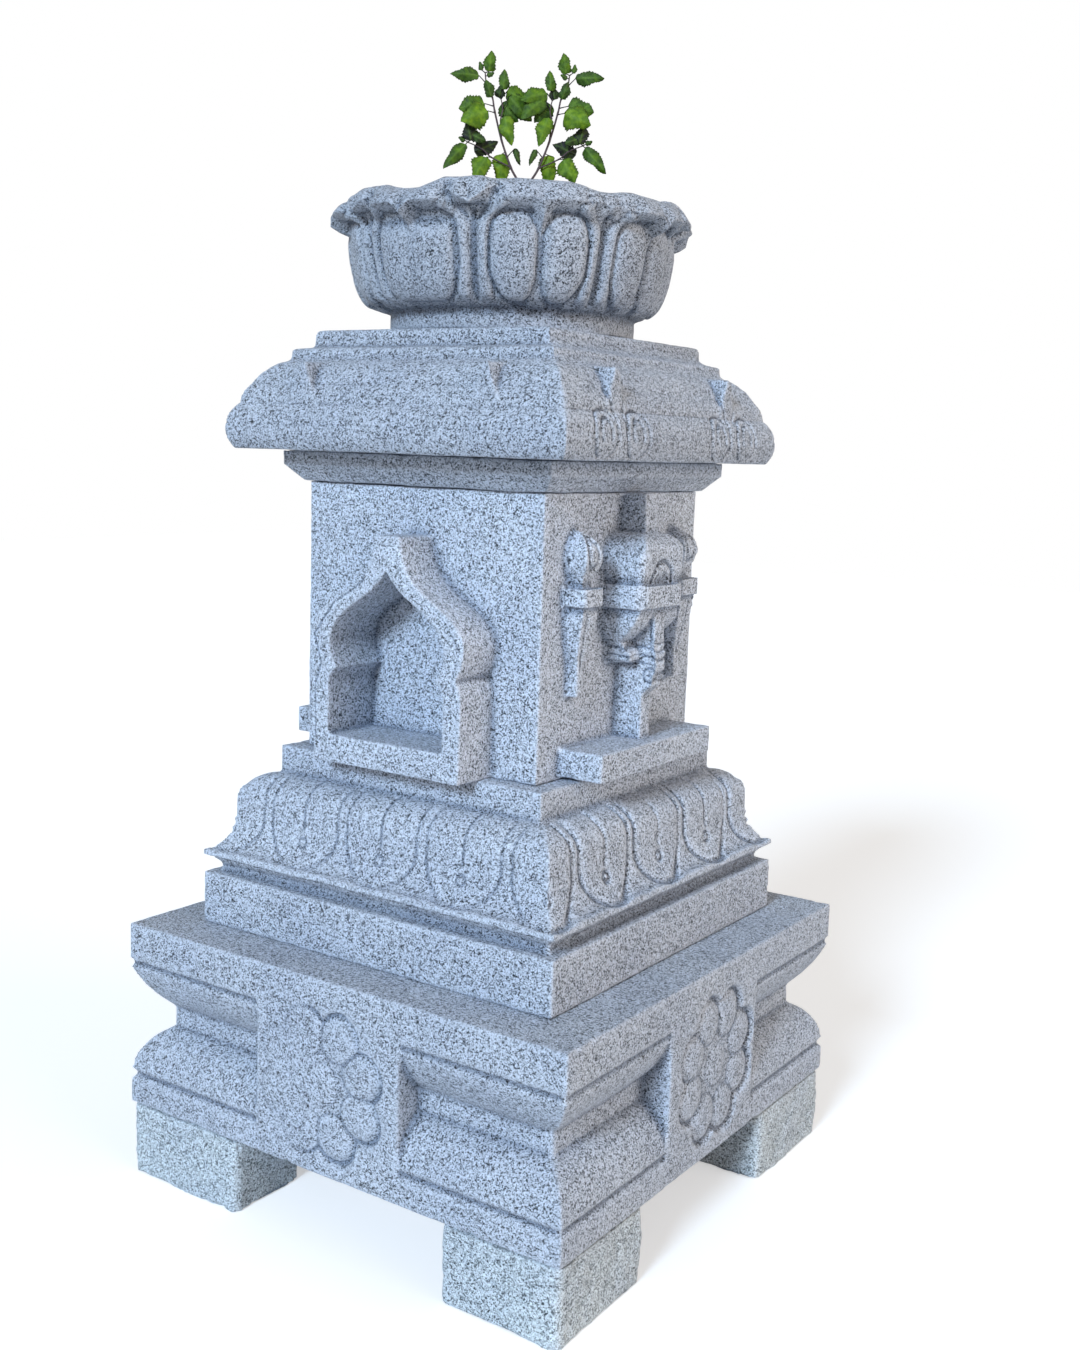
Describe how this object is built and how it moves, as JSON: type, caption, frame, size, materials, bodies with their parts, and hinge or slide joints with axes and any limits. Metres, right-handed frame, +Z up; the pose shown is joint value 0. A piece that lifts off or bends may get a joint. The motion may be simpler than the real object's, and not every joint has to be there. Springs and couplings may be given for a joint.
{
  "type": "tulsi vrindavan planter",
  "caption": "Stacked carved granite planter with a moulded plinth, lotus pedestal, lamp niche, curved eave and a lotus bowl holding a young tulsi plant.",
  "frame": {"origin": "on the ground, in the middle of the plinth's square plan", "axes": "+Z up the stack, -Y out of the face with the lamp niche, +X to the right of that face"},
  "size_m": [0.61, 0.61, 1.3021],
  "materials": {
    "granite": "bush-hammered grey granite",
    "foot_granite": "rough-split weathered grey granite",
    "dowel_steel": "plain drawn bar",
    "gravel": "loose crushed stone",
    "soil": "moist crumbly potting soil",
    "stem": "thin dark woody stem",
    "leaf": "fresh green leaves"
  },
  "bodies": {
    "root": {"foot_front_left": "foot_granite", "foot_front_right": "foot_granite", "foot_back_left": "foot_granite", "foot_back_right": "foot_granite", "base_plinth": "granite", "padma_pedestal": "granite", "shaft": "granite", "cornice_slab": "granite", "eave_stone": "granite", "lotus_bowl": "granite", "plinth_dowel": "dowel_steel", "pedestal_dowel": "dowel_steel", "cornice_dowel": "dowel_steel", "bowl_dowel": "dowel_steel", "drainage_gravel": "gravel", "soil": "soil", "tulsi_stem_left": "stem", "tulsi_stem_right": "stem", "tulsi_leaves_left": "leaf", "tulsi_leaves_right": "leaf"}
  },
  "joints": []
}
